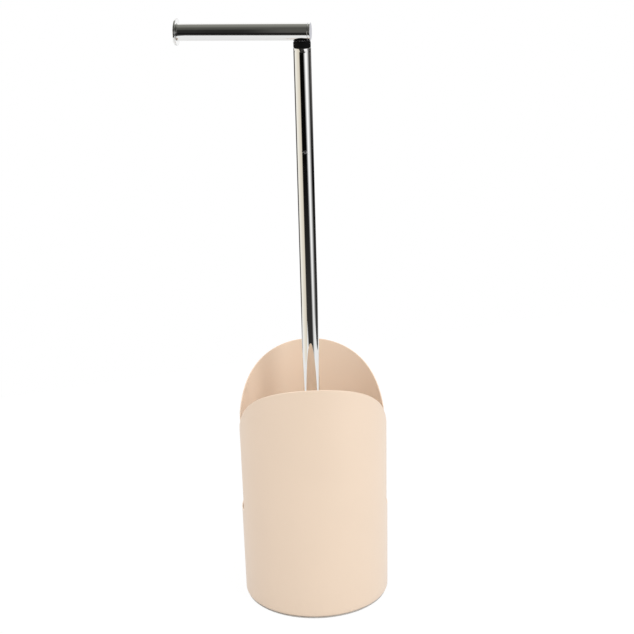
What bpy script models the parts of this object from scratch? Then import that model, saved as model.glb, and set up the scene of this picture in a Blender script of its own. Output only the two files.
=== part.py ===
"""Freestanding toilet paper holder with a store for spare rolls.

A weighted round container of powder-coated sheet carries a chromed pole. The pole carries a
chromed arm, which swivels on a black bush. Spare rolls slide over the arm and down the pole
into the container, and fingers reach them through the container's two side slots.

Metres, +Z up. The origin is on the pole's axis, at the floor. The container's arched lobes
face -Y and +Y, its open slots face -X and +X, and the arm points to -X, swung a little back.
"""

import math

import bmesh
import bpy

# Fits
SEAT_GAP = 0.0003
CUT_OVERRUN = 0.002
MERGE_DISTANCE = 0.000001

# Tube that the pole and the arm are cut from
TUBE_RADIUS = 0.0095
TUBE_WALL = 0.0012

# Container: rolled sheet, its arched lobes, its slots and the lip under its plate
WALL_FOOT_RADIUS = 0.082
WALL_RIM_RADIUS = 0.085
WALL_THICKNESS = 0.0012
CONTAINER_HEIGHT = 0.275
CROWN_FALL = 0.0535
LOBE_CORNER_RADIUS = 0.015
SLOT_WIDTH = 0.038
SLOT_FOOT_HEIGHT = 0.105
SLOT_CORNER_RADIUS = 0.008
LIP_WIDTH = 0.008
LIP_BEND_RADIUS = 0.0025

# Weighted base
PAD_THICKNESS = 0.0015
PAD_INSET = 0.0015
PLATE_THICKNESS = 0.008
PLATE_CHAMFER = 0.0008

# Pole, its plug and its screw
POLE_TOP_HEIGHT = 0.627
FOOT_PLUG_LENGTH = 0.03
BASE_SCREW_RADIUS = 0.004
BASE_SCREW_LENGTH = 0.025
BASE_SCREW_HEAD_RADIUS = 0.008
BASE_SCREW_SOCKET_RADIUS = 0.0029
BASE_SCREW_SOCKET_DEPTH = 0.0025
SCREW_CHAMFER = 0.0005

# Swivel
BUSH_INSET = 0.0003
BUSH_HEIGHT = 0.0064
BUSH_SPIGOT_LENGTH = 0.014
BUSH_CHAMFER = 0.0004
STUD_RADIUS = 0.003
STUD_REACH = 0.004
STUD_TIP_LENGTH = 0.0007
WASHER_RADIUS = 0.006
WASHER_THICKNESS = 0.0016
SPRING_WASHER_RADIUS = 0.0059
SPRING_WASHER_THICKNESS = 0.0016
SPRING_WASHER_SPLIT = 0.0012
NUT_WIDTH = 0.01
NUT_HEIGHT = 0.006

# Arm, measured along it from the pole's axis
ARM_REACH = 0.1345
ARM_TAIL = 0.0095
ARM_SWING = math.radians(10.0)
PLUG_HEAD_THICKNESS = 0.0025
PLUG_LENGTH = 0.02
PLUG_HOLE_CROWN = 0.0018
FLANGE_RADIUS = 0.0145
FLANGE_THICKNESS = 0.002
FLANGE_SPIGOT_LENGTH = 0.012
CHROME_EDGE_RADIUS = 0.0004

# How finely round shapes are divided, and the angles that tell an edge from a curve
HEXAGON_SIDES = 6
PLATE_SEGMENTS = 96
TUBE_SEGMENTS = 48
SCREW_SEGMENTS = 32
CROWN_STEPS = 16
CORNER_STEPS = 6
SLOT_CORNER_STEPS = 4
SLOT_FLOOR_STEPS = 4
BEND_STEPS = 4
WALL_ROWS = 2
LOBE_ROWS = 4
SOFT_EDGE_STEPS = 2
SHARP_ANGLE = math.radians(30.0)
BEVEL_ANGLE = math.radians(40.0)

# Places that follow from the sizes
TUBE_BORE_RADIUS = TUBE_RADIUS - TUBE_WALL
PLUG_RADIUS = TUBE_BORE_RADIUS - SEAT_GAP
LIP_BOTTOM = PAD_THICKNESS + SEAT_GAP
LIP_INNER_RADIUS = WALL_FOOT_RADIUS - LIP_WIDTH
PLATE_TOP = LIP_BOTTOM + PLATE_THICKNESS
POLE_FOOT = PLATE_TOP + SEAT_GAP
BUSH_RADIUS = TUBE_RADIUS - BUSH_INSET
BUSH_BOTTOM = POLE_TOP_HEIGHT + SEAT_GAP
BUSH_TOP = BUSH_BOTTOM + BUSH_HEIGHT
ARM_HEIGHT = BUSH_TOP + SEAT_GAP + TUBE_RADIUS
STUD_HOLE_RADIUS = STUD_RADIUS + SEAT_GAP
STUD_TOP = ARM_HEIGHT + STUD_REACH
WASHER_TOP = BUSH_BOTTOM - BUSH_SPIGOT_LENGTH - SEAT_GAP
SPRING_WASHER_TOP = WASHER_TOP - WASHER_THICKNESS - SEAT_GAP
NUT_TOP = SPRING_WASHER_TOP - SPRING_WASHER_THICKNESS - SEAT_GAP
STUD_BOTTOM = NUT_TOP - NUT_HEIGHT - STUD_TIP_LENGTH
LOBE_HALF_ANGLE = math.pi / 2 - math.asin(SLOT_WIDTH / 2 / WALL_RIM_RADIUS)
LOBE_HALF_ARC = LOBE_HALF_ANGLE * WALL_RIM_RADIUS


def clear_scene():
    for item in list(bpy.data.objects):
        bpy.data.objects.remove(item)


def finish_material(name, color, roughness, metallic):
    material = bpy.data.materials.new(name)
    material.use_nodes = True
    shader = material.node_tree.nodes["Principled BSDF"]
    shader.inputs["Base Color"].default_value = (*color, 1.0)
    shader.inputs["Roughness"].default_value = roughness
    shader.inputs["Metallic"].default_value = metallic
    return material


def add_object(name, bm, material):
    bmesh.ops.remove_doubles(bm, verts=bm.verts, dist=MERGE_DISTANCE)
    bmesh.ops.recalc_face_normals(bm, faces=bm.faces)
    mesh = bpy.data.meshes.new(name)
    bm.to_mesh(mesh)
    bm.free()
    mesh.shade_smooth()
    mesh.set_sharp_from_angle(angle=SHARP_ANGLE)
    mesh.materials.append(material)
    item = bpy.data.objects.new(name, mesh)
    bpy.context.scene.collection.objects.link(item)
    return item


def turned_mesh(outline, segments):
    """A closed outline of (radius, height) points spun once about Z.

    An edge that lies on the axis would sweep out nothing, so it is left out.
    """
    bm = bmesh.new()
    points = [bm.verts.new((radius, 0.0, height)) for radius, height in outline]
    for first, second in zip(points, points[1:] + points[:1]):
        if first.co.x + second.co.x > 0.0:
            bm.edges.new((first, second))
    bmesh.ops.spin(
        bm,
        geom=bm.verts[:] + bm.edges[:],
        cent=(0.0, 0.0, 0.0),
        axis=(0.0, 0.0, 1.0),
        angle=math.tau,
        steps=segments,
        use_merge=True,
    )
    return bm


def turned(name, outline, material, segments=TUBE_SEGMENTS):
    return add_object(name, turned_mesh(outline, segments), material)


def ring_outline(inner, outer, bottom, top):
    return [(inner, top), (outer, top), (outer, bottom), (inner, bottom)]


def cylinder_cutter(name, radius, bottom, top, segments=TUBE_SEGMENTS):
    outline = [(0.0, top), (radius, top), (radius, bottom), (0.0, bottom)]
    cutter = turned(name, outline, finish_material(name, (1.0, 0.0, 0.0), 1.0, 0.0), segments)
    cutter.hide_render = True
    cutter.display_type = "WIRE"
    return cutter


def cut(item, cutter):
    modifier = item.modifiers.new("cut_" + cutter.name, "BOOLEAN")
    modifier.operation = "DIFFERENCE"
    modifier.solver = "EXACT"
    modifier.object = cutter


def soften(item, width):
    modifier = item.modifiers.new("soft_edges", "BEVEL")
    modifier.width = width
    modifier.segments = SOFT_EDGE_STEPS
    modifier.limit_method = "ANGLE"
    modifier.angle_limit = BEVEL_ANGLE


def wall_radius(height):
    """Outer radius of the container, which opens a little towards its rim."""
    return WALL_FOOT_RADIUS + (WALL_RIM_RADIUS - WALL_FOOT_RADIUS) * height / CONTAINER_HEIGHT


def lobe_outline():
    """Half of a lobe's edge as (arc from its centre line, height), from crown to slot edge.

    The crown is one large arc, and a corner arc turns it into the slot's upright edge. The
    crown's radius follows from its fall to the corner over the lobe's width.
    """
    corner_arc = LOBE_HALF_ARC - LOBE_CORNER_RADIUS
    corner_swing = (corner_arc ** 2 + CROWN_FALL ** 2) / (2 * CROWN_FALL)
    crown_radius = corner_swing + LOBE_CORNER_RADIUS
    turn = math.atan2(corner_arc, corner_swing - CROWN_FALL)
    crown_centre = CONTAINER_HEIGHT - crown_radius
    corner_centre = crown_centre + corner_swing - CROWN_FALL
    points = []
    for step in range(CROWN_STEPS):
        angle = turn * step / CROWN_STEPS
        points.append((crown_radius * math.sin(angle), crown_centre + crown_radius * math.cos(angle)))
    for step in range(CORNER_STEPS + 1):
        angle = turn + (math.pi / 2 - turn) * step / CORNER_STEPS
        across = corner_arc + LOBE_CORNER_RADIUS * math.sin(angle)
        points.append((across, corner_centre + LOBE_CORNER_RADIUS * math.cos(angle)))
    return points


def slot_outline():
    """Half of a slot's floor as (angle from the slot's edge, height), from edge to middle."""
    radius = wall_radius(SLOT_FOOT_HEIGHT)
    half_arc = (math.pi / 2 - LOBE_HALF_ANGLE) * radius
    points = []
    for step in range(1, SLOT_CORNER_STEPS + 1):
        angle = math.pi / 2 * step / SLOT_CORNER_STEPS
        across = SLOT_CORNER_RADIUS * (1.0 - math.cos(angle))
        height = SLOT_FOOT_HEIGHT + SLOT_CORNER_RADIUS * (1.0 - math.sin(angle))
        points.append((across / radius, height))
    flat = half_arc - SLOT_CORNER_RADIUS
    for step in range(1, SLOT_FLOOR_STEPS + 1):
        across = SLOT_CORNER_RADIUS + flat * step / SLOT_FLOOR_STEPS
        points.append((across / radius, SLOT_FOOT_HEIGHT))
    return points


def wall_columns():
    """Columns once around the wall as (angle, shoulder height, top height or None in a slot)."""
    shoulder = SLOT_FOOT_HEIGHT + SLOT_CORNER_RADIUS
    lobe = lobe_outline()
    slot = slot_outline()
    half = [(arc / WALL_RIM_RADIUS, shoulder, top) for arc, top in lobe]
    half += [(LOBE_HALF_ANGLE + angle, height, None) for angle, height in slot]
    quarter_back = [(math.pi - angle, level, top) for angle, level, top in reversed(half[:-1])]
    side = half + quarter_back
    other_side = [(math.tau - angle, level, top) for angle, level, top in reversed(side[1:-1])]
    return side + other_side


def container_wall(material):
    """The rolled sheet: a skin of columns and rows, thickened inwards."""
    bm = bmesh.new()
    bend_centre = LIP_BOTTOM + LIP_BEND_RADIUS
    columns = wall_columns()
    grid = []
    for angle, shoulder, top in columns:
        section = [(LIP_INNER_RADIUS, LIP_BOTTOM)]
        for step in range(BEND_STEPS + 1):
            turn = math.pi / 2 * step / BEND_STEPS
            height = bend_centre - LIP_BEND_RADIUS * math.cos(turn)
            radius = wall_radius(height) - LIP_BEND_RADIUS * (1.0 - math.sin(turn))
            section.append((radius, height))
        for row in range(1, WALL_ROWS + 1):
            height = bend_centre + (shoulder - bend_centre) * row / WALL_ROWS
            section.append((wall_radius(height), height))
        if top is not None:
            for row in range(1, LOBE_ROWS + 1):
                height = shoulder + (top - shoulder) * row / LOBE_ROWS
                section.append((wall_radius(height), height))
        grid.append([
            bm.verts.new((radius * math.sin(angle), -radius * math.cos(angle), height))
            for radius, height in section
        ])
    for left, right in zip(grid, grid[1:] + grid[:1]):
        for row in range(min(len(left), len(right)) - 1):
            bm.faces.new((left[row], right[row], right[row + 1], left[row + 1]))
    wall = add_object("container_wall", bm, material)
    sheet = wall.modifiers.new("sheet", "SOLIDIFY")
    sheet.thickness = WALL_THICKNESS
    sheet.offset = -1.0
    sheet.use_even_offset = True
    return wall


def base_plate(material):
    """Heavy disc whose rebated edge sits on the wall's lip."""
    wall_bore = wall_radius(PLATE_TOP) - WALL_THICKNESS
    foot_bore = wall_radius(LIP_BOTTOM) - WALL_THICKNESS
    rim = min(wall_bore, foot_bore) - SEAT_GAP
    rebate_top = LIP_BOTTOM + WALL_THICKNESS + SEAT_GAP
    rebate_radius = LIP_INNER_RADIUS - SEAT_GAP
    bend_clearance = LIP_BEND_RADIUS - WALL_THICKNESS
    hole = BASE_SCREW_RADIUS + SEAT_GAP
    sink = BASE_SCREW_HEAD_RADIUS + SEAT_GAP
    outline = [
        (hole, PLATE_TOP),
        (rim - PLATE_CHAMFER, PLATE_TOP),
        (rim, PLATE_TOP - PLATE_CHAMFER),
        (rim, rebate_top + bend_clearance),
        (rim - bend_clearance, rebate_top),
        (rebate_radius, rebate_top),
        (rebate_radius, LIP_BOTTOM),
        (sink, LIP_BOTTOM),
        (hole, LIP_BOTTOM + sink - hole),
    ]
    return turned("base_plate", outline, material, PLATE_SEGMENTS)


def base_pad(material):
    radius = WALL_FOOT_RADIUS - PAD_INSET
    outline = [(0.0, PAD_THICKNESS), (radius, PAD_THICKNESS), (radius, 0.0), (0.0, 0.0)]
    return turned("base_pad", outline, material, PLATE_SEGMENTS)


def base_screw(material):
    """Countersunk screw from below, its head flush with the plate, with a hexagon socket."""
    bottom = LIP_BOTTOM + SEAT_GAP
    cone_top = bottom + BASE_SCREW_HEAD_RADIUS - BASE_SCREW_RADIUS
    top = bottom + BASE_SCREW_LENGTH
    outline = [
        (0.0, top),
        (BASE_SCREW_RADIUS - SCREW_CHAMFER, top),
        (BASE_SCREW_RADIUS, top - SCREW_CHAMFER),
        (BASE_SCREW_RADIUS, cone_top),
        (BASE_SCREW_HEAD_RADIUS, bottom),
        (0.0, bottom),
    ]
    screw = turned("base_screw", outline, material, SCREW_SEGMENTS)
    socket = cylinder_cutter(
        "base_screw_socket",
        BASE_SCREW_SOCKET_RADIUS,
        bottom - CUT_OVERRUN,
        bottom + BASE_SCREW_SOCKET_DEPTH,
        HEXAGON_SIDES,
    )
    cut(screw, socket)
    return screw


def pole_tube(material):
    outline = ring_outline(TUBE_BORE_RADIUS, TUBE_RADIUS, POLE_FOOT, POLE_TOP_HEIGHT)
    return turned("pole_tube", outline, material)


def foot_plug(material):
    """Plug pressed into the pole's foot, drilled right through for the base screw."""
    hole = BASE_SCREW_RADIUS + SEAT_GAP
    outline = ring_outline(hole, PLUG_RADIUS, POLE_FOOT, POLE_FOOT + FOOT_PLUG_LENGTH)
    return turned("foot_plug", outline, material, SCREW_SEGMENTS)


def top_bush(material):
    """Black bush: a collar on the pole's end and a spigot in its bore."""
    spigot_bottom = BUSH_BOTTOM - BUSH_SPIGOT_LENGTH
    outline = [
        (STUD_HOLE_RADIUS, BUSH_TOP),
        (BUSH_RADIUS - BUSH_CHAMFER, BUSH_TOP),
        (BUSH_RADIUS, BUSH_TOP - BUSH_CHAMFER),
        (BUSH_RADIUS, BUSH_BOTTOM),
        (PLUG_RADIUS, BUSH_BOTTOM),
        (PLUG_RADIUS, spigot_bottom + BUSH_CHAMFER),
        (PLUG_RADIUS - BUSH_CHAMFER, spigot_bottom),
        (STUD_HOLE_RADIUS, spigot_bottom),
    ]
    return turned("top_bush", outline, material)


def swivel_stud(material):
    """Stud from the arm's plug down through the bush, the washers and the nut."""
    outline = [
        (0.0, STUD_TOP),
        (STUD_RADIUS - SCREW_CHAMFER, STUD_TOP),
        (STUD_RADIUS, STUD_TOP - SCREW_CHAMFER),
        (STUD_RADIUS, STUD_BOTTOM + SCREW_CHAMFER),
        (STUD_RADIUS - SCREW_CHAMFER, STUD_BOTTOM),
        (0.0, STUD_BOTTOM),
    ]
    return turned("swivel_stud", outline, material, SCREW_SEGMENTS)


def swivel_washer(material):
    outline = ring_outline(STUD_HOLE_RADIUS, WASHER_RADIUS, WASHER_TOP - WASHER_THICKNESS, WASHER_TOP)
    return turned("swivel_washer", outline, material, SCREW_SEGMENTS)


def spring_washer(material):
    """Split ring: the ring is spun short of a full turn and its ends are filled."""
    bottom = SPRING_WASHER_TOP - SPRING_WASHER_THICKNESS
    split_angle = SPRING_WASHER_SPLIT / SPRING_WASHER_RADIUS
    bm = bmesh.new()
    outline = ring_outline(STUD_HOLE_RADIUS, SPRING_WASHER_RADIUS, bottom, SPRING_WASHER_TOP)
    section = bm.faces.new([bm.verts.new((radius, 0.0, height)) for radius, height in outline])
    bmesh.ops.spin(
        bm,
        geom=[section],
        cent=(0.0, 0.0, 0.0),
        axis=(0.0, 0.0, 1.0),
        angle=math.tau - split_angle,
        steps=SCREW_SEGMENTS,
    )
    return add_object("spring_washer", bm, material)


def lock_nut(material):
    """Hexagon nut: NUT_WIDTH is measured across its flats."""
    corner_radius = NUT_WIDTH / 2 / math.cos(math.pi / HEXAGON_SIDES)
    outline = ring_outline(0.0, corner_radius, NUT_TOP - NUT_HEIGHT, NUT_TOP)
    nut = turned("lock_nut", outline, material, HEXAGON_SIDES)
    hole = cylinder_cutter(
        "lock_nut_hole",
        STUD_HOLE_RADIUS,
        NUT_TOP - NUT_HEIGHT - CUT_OVERRUN,
        NUT_TOP + CUT_OVERRUN,
        SCREW_SEGMENTS,
    )
    cut(nut, hole)
    return nut


def lay_along_arm(item, pivot):
    """Parents a piece turned about Z to the pivot, with its +Z out along the arm."""
    item.parent = pivot
    item.rotation_euler = (0.0, -math.pi / 2, 0.0)


def hang_from_arm(item, pivot):
    """Parents a piece that is modelled in place on the pole's axis."""
    item.parent = pivot
    item.location = (0.0, 0.0, -ARM_HEIGHT)


def arm_tube(material, pivot):
    near_end = -ARM_TAIL + PLUG_HEAD_THICKNESS + SEAT_GAP
    far_end = ARM_REACH - FLANGE_THICKNESS - SEAT_GAP
    outline = ring_outline(TUBE_BORE_RADIUS, TUBE_RADIUS, near_end, far_end)
    tube = turned("arm_tube", outline, material)
    lay_along_arm(tube, pivot)
    below = -TUBE_RADIUS - CUT_OVERRUN
    hole = cylinder_cutter("arm_tube_hole", STUD_HOLE_RADIUS, below, 0.0, SCREW_SEGMENTS)
    hole.parent = pivot
    cut(tube, hole)
    return tube


def arm_plug(material, pivot):
    """Turned plug: its head closes the arm, and the stud screws up into its body."""
    head_outer = -ARM_TAIL
    head_inner = head_outer + PLUG_HEAD_THICKNESS
    outline = [
        (0.0, head_inner + PLUG_LENGTH),
        (PLUG_RADIUS, head_inner + PLUG_LENGTH),
        (PLUG_RADIUS, head_inner),
        (TUBE_RADIUS, head_inner),
        (TUBE_RADIUS, head_outer),
        (0.0, head_outer),
    ]
    plug = turned("arm_plug", outline, material)
    lay_along_arm(plug, pivot)
    soften(plug, CHROME_EDGE_RADIUS)
    hole = cylinder_cutter(
        "arm_plug_hole",
        STUD_HOLE_RADIUS,
        -TUBE_RADIUS - CUT_OVERRUN,
        STUD_REACH + PLUG_HOLE_CROWN,
        SCREW_SEGMENTS,
    )
    hole.parent = pivot
    cut(plug, hole)
    return plug


def end_flange(material, pivot):
    """Disc that stops the roll, on a spigot pressed into the tube."""
    inner_face = ARM_REACH - FLANGE_THICKNESS
    outline = [
        (0.0, ARM_REACH),
        (FLANGE_RADIUS, ARM_REACH),
        (FLANGE_RADIUS, inner_face),
        (PLUG_RADIUS, inner_face),
        (PLUG_RADIUS, inner_face - FLANGE_SPIGOT_LENGTH),
        (0.0, inner_face - FLANGE_SPIGOT_LENGTH),
    ]
    flange = turned("end_flange", outline, material)
    lay_along_arm(flange, pivot)
    soften(flange, CHROME_EDGE_RADIUS)
    return flange


def arm_pivot():
    """Empty on the swivel's axis at the arm's height, turned to the arm's swing."""
    pivot = bpy.data.objects.new("arm_pivot", None)
    bpy.context.scene.collection.objects.link(pivot)
    pivot.location = (0.0, 0.0, ARM_HEIGHT)
    pivot.rotation_euler = (0.0, 0.0, -ARM_SWING)
    return pivot


def build():
    clear_scene()
    powder_coat = finish_material("powder_coat", (0.84, 0.66, 0.55), 0.45, 0.0)
    chrome = finish_material("chrome", (0.9, 0.9, 0.91), 0.06, 1.0)
    black_nylon = finish_material("black_nylon", (0.012, 0.012, 0.013), 0.45, 0.0)
    pad_foam = finish_material("pad_foam", (0.35, 0.32, 0.3), 0.85, 0.0)
    zinc_steel = finish_material("zinc_steel", (0.62, 0.63, 0.65), 0.35, 1.0)

    container_wall(powder_coat)
    base_plate(powder_coat)
    base_pad(pad_foam)
    base_screw(zinc_steel)
    pole_tube(chrome)
    foot_plug(zinc_steel)
    top_bush(black_nylon)

    pivot = arm_pivot()
    arm_tube(chrome, pivot)
    arm_plug(chrome, pivot)
    end_flange(chrome, pivot)
    for make in (swivel_stud, swivel_washer, spring_washer, lock_nut):
        hang_from_arm(make(zinc_steel), pivot)


build()
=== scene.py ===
"""Finished surfaces and studio for a freestanding toilet paper holder.

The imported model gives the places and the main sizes. Each operator makes one piece, or a group
of like pieces, over its solids: the rolled container, its weighted base, the chromed pole and
swivelling arm, the black bush between them, and the fixings inside. Metres, +Z up.
"""

import math

import bmesh
import bpy
import numpy as np
from mathutils import Matrix, Vector


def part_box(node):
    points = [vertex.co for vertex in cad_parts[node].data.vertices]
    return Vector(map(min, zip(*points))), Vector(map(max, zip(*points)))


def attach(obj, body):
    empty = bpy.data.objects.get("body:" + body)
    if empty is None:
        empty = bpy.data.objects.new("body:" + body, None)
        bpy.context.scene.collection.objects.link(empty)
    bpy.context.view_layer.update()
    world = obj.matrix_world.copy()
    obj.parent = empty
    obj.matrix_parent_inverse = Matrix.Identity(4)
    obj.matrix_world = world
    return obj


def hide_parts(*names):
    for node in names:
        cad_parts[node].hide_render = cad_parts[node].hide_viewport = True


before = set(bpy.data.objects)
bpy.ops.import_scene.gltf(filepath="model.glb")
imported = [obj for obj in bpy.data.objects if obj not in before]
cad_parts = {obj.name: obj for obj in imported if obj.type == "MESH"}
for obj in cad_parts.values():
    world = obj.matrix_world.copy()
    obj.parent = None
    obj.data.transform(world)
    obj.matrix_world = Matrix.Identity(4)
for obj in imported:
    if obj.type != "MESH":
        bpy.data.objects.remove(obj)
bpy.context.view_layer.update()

bl_info = {
    "name": "Paper holder finishes",
    "version": (1, 0, 0),
    "blender": (4, 5, 0),
    "location": "3D View > Sidebar > Paper holder",
    "description": "Builds the finished surfaces of a freestanding toilet paper holder",
    "category": "Object",
}

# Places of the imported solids
WALL_LOW, WALL_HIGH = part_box("container_wall")
PLATE_LOW, PLATE_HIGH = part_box("base_plate")
PAD_LOW, PAD_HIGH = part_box("base_pad")
SCREW_LOW, SCREW_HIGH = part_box("base_screw")
POLE_LOW, POLE_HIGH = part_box("pole_tube")
FOOT_PLUG_LOW, FOOT_PLUG_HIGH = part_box("foot_plug")
BUSH_LOW, BUSH_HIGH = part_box("top_bush")
ARM_LOW, ARM_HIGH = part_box("arm_tube")
FLANGE_LOW, FLANGE_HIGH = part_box("end_flange")
STUD_LOW, STUD_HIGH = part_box("swivel_stud")
WASHER_LOW, WASHER_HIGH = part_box("swivel_washer")
SPRING_LOW, SPRING_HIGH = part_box("spring_washer")
NUT_LOW, NUT_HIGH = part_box("lock_nut")

# The arm's height and direction, and the places along it where its tube starts and ends
ARM_CENTRE = (ARM_LOW + ARM_HIGH) / 2
ARM_HEIGHT = ARM_CENTRE.z
ARM_DIRECTION = Vector((ARM_CENTRE.x, ARM_CENTRE.y, 0.0)).normalized()
ARM_BEARING = math.atan2(ARM_DIRECTION.y, ARM_DIRECTION.x)
ARM_RADIUS = (ARM_HIGH.z - ARM_LOW.z) / 2
ARM_SIDE_REACH = ARM_RADIUS * abs(ARM_DIRECTION.y)
ARM_FAR_END = (-ARM_LOW.x - ARM_SIDE_REACH) / abs(ARM_DIRECTION.x)
ARM_NEAR_END = -(ARM_HIGH.x - ARM_SIDE_REACH) / abs(ARM_DIRECTION.x)
FLANGE_RADIUS = (FLANGE_HIGH.z - FLANGE_LOW.z) / 2
TO_ARM_PATTERN = Matrix.Rotation(-math.pi / 2, 4, "Y") @ Matrix.Rotation(-ARM_BEARING, 4, "Z")

# How finely the surfaces are divided
TUBE_SEGMENTS = 192
PLATE_SEGMENTS = 256
FIXING_SEGMENTS = 72
ARC_STEPS = 5
BEND_STEPS = 8
RUN_STEPS = 12
POLE_STEPS = 36
THREAD_STEPS = 8
CROWN_STEPS = 64
LOBE_CORNER_STEPS = 14
HOLLOW_STEPS = 12
SLOT_FLOOR_STEPS = 8
LOWER_ROWS = 24
UPPER_ROWS = 36
WINDOW_COLUMNS = 18
WINDOW_ROWS = 20
WINDOW_RINGS = 8
SAME_POINT = 0.000001
NEAR_EDGE = 0.0004
SHARP_ANGLE = math.radians(40.0)

# Half the side of the window round a hole in a round wall, in radii of the hole, and the power
# that crowds the window's rings towards the hole
TUBE_WINDOW = 1.6
PLUG_WINDOW = 1.5
RING_CROWDING = 0.8

# Share of a thread's depth that is cut off at its crest, and again at its root
THREAD_FLAT = 0.15

# Depth of the point under a drilled hole, in radii, and under a socket, in widths, and the
# slope of a nut's chamfer
DRILL_POINT = 1 / 3
SOCKET_POINT = 1 / 4
NUT_CHAMFER = math.radians(30.0)

# Strongest light that the world can give, where white is 1
FULL_LIGHT = 1.5


def length_of(name, default, description):
    """A size or a place in metres."""
    return bpy.props.FloatProperty(
        name=name, default=default, description=description, unit="LENGTH", precision=5)


def angle_of(name, degrees, description):
    """An angle, which is given in degrees."""
    return bpy.props.FloatProperty(
        name=name, default=math.radians(degrees), description=description, unit="ROTATION")


def share_of(name, default, description):
    """A number from 0 to 1."""
    return bpy.props.FloatProperty(
        name=name, default=default, description=description, min=0.0, max=1.0, subtype="FACTOR")


def light_of(name, default, description):
    """A strength of the world's light, where white is 1."""
    return bpy.props.FloatProperty(
        name=name, default=default, description=description, min=0.0, max=FULL_LIGHT)


def color_of(name, default, description):
    """A colour, in linear light."""
    return bpy.props.FloatVectorProperty(
        name=name, default=default, description=description, size=3, min=0.0, max=1.0,
        subtype="COLOR")


def point_of(name, default, description):
    """A point in the frame, in metres."""
    return bpy.props.FloatVectorProperty(
        name=name, default=default, description=description, size=3, subtype="TRANSLATION",
        unit="LENGTH")


class ContainerSizes(bpy.types.PropertyGroup):
    """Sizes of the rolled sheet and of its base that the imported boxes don't give."""

    sheet: length_of("Sheet", 0.0012, "Thickness of the rolled sheet")
    cut_edge: length_of("Cut edge", 0.0004, "Radius that the coating leaves on the sheet's cut edges")
    edge_band: length_of("Edge band", 0.002, "Width of the rows of faces that follow the cut edges")
    crown_fall: length_of("Crown fall", 0.0535, "How far a lobe's large arc falls to its corner arc")
    lobe_corner: length_of("Lobe corner", 0.015, "Radius where a lobe turns into the slot's edge")
    slot_width: length_of("Slot width", 0.038, "Width of the open side slots")
    slot_foot: length_of("Slot foot", 0.105, "Height of the slots' lower end")
    slot_corner: length_of("Slot corner", 0.008, "Radius of the slots' lower corners")
    lip_width: length_of("Lip width", 0.008, "Width of the lip that turns in under the plate")
    lip_bend: length_of("Lip bend", 0.0025, "Outer radius of the bend above the lip")
    pad_inset: length_of("Pad inset", 0.0015, "How far the pad's edge lies inside the wall's foot")
    plate_edge: length_of("Plate edge", 0.0008, "Radius on the base plate's upper edge")


class TubeSizes(bpy.types.PropertyGroup):
    """Sizes of the pole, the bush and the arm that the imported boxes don't give."""

    wall: length_of("Tube wall", 0.0012, "Wall of the chromed tube")
    seat_gap: length_of("Seat gap", 0.0003, "Clearance between pieces that seat on each other")
    tube_edge: length_of("Tube edge", 0.00025, "Radius on the cut ends of the tubes")
    polished_edge: length_of("Polished edge", 0.00043, "Radius on the flange's and the plug's edges")
    plug_head: length_of("Plug head", 0.0025, "Thickness of the head that closes the arm")
    plug_length: length_of("Plug length", 0.02, "Length of the plug inside the arm")
    plug_crown: length_of("Plug hole crown", 0.0018, "Depth of the plug's hole above the stud's tip")
    flange_thickness: length_of("Flange thickness", 0.002, "Thickness of the disc that stops the roll")
    flange_spigot: length_of("Flange spigot", 0.012, "Length of the flange's spigot inside the arm")
    bush_height: length_of("Bush height", 0.0064, "Height of the bush's collar")
    bush_edge: length_of("Bush edge", 0.0006, "Radius on the bush's moulded edges")
    bush_crown: length_of("Bush crown", 0.0014, "Radius on the collar's upper edge")


class FixingSizes(bpy.types.PropertyGroup):
    """Sizes of the screw, the stud, the washers and the nut."""

    screw_radius: length_of("Base screw radius", 0.004, "Outer radius of the base screw's thread")
    screw_pitch: length_of("Base screw pitch", 0.00125, "Distance between turns of its thread")
    socket_width: length_of("Socket width", 0.005, "Width across the flats of the screw's socket")
    socket_depth: length_of("Socket depth", 0.0025, "Depth of the screw's hexagon socket")
    stud_pitch: length_of("Stud pitch", 0.001, "Distance between turns of the stud's thread")
    thread_share: share_of("Thread depth", 0.56, "Depth of a thread as a share of its pitch")
    thread_clearance: length_of("Thread clearance", 0.0001, "Clearance between a thread and its nut")
    spring_split: length_of("Spring washer split", 0.0012, "Gap between the spring washer's ends")
    fixing_edge: length_of("Fixing edge", 0.0003, "Radius on the edges of small turned pieces")


class Finishes(bpy.types.PropertyGroup):
    """Colours and gloss of the pieces."""

    coat_color: color_of("Powder coat", (0.82, 0.635, 0.478), "Colour of the powder coating")
    coat_roughness: share_of("Coat roughness", 0.46, "Roughness of the satin powder coating")
    chrome_color: color_of("Chrome", (0.94, 0.94, 0.93), "Colour of the chrome plating")
    chrome_roughness: share_of("Chrome roughness", 0.02, "Roughness of the cleanest chrome")
    scuff_height: length_of("Scuff height", 0.5165, "Height of the scuffs on the pole's front")
    nylon_color: color_of("Nylon", (0.003, 0.003, 0.003), "Colour of the moulded bush")
    nylon_roughness: share_of("Nylon roughness", 0.5, "Roughness of the moulded bush")
    foam_color: color_of("Pad", (0.52, 0.48, 0.44), "Colour of the anti-slip pad")
    foam_roughness: share_of("Pad roughness", 0.88, "Roughness of the anti-slip pad")
    zinc_color: color_of("Zinc", (0.62, 0.63, 0.65), "Colour of the plated fixings")
    zinc_roughness: share_of("Zinc roughness", 0.36, "Roughness of the plated fixings")


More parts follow.
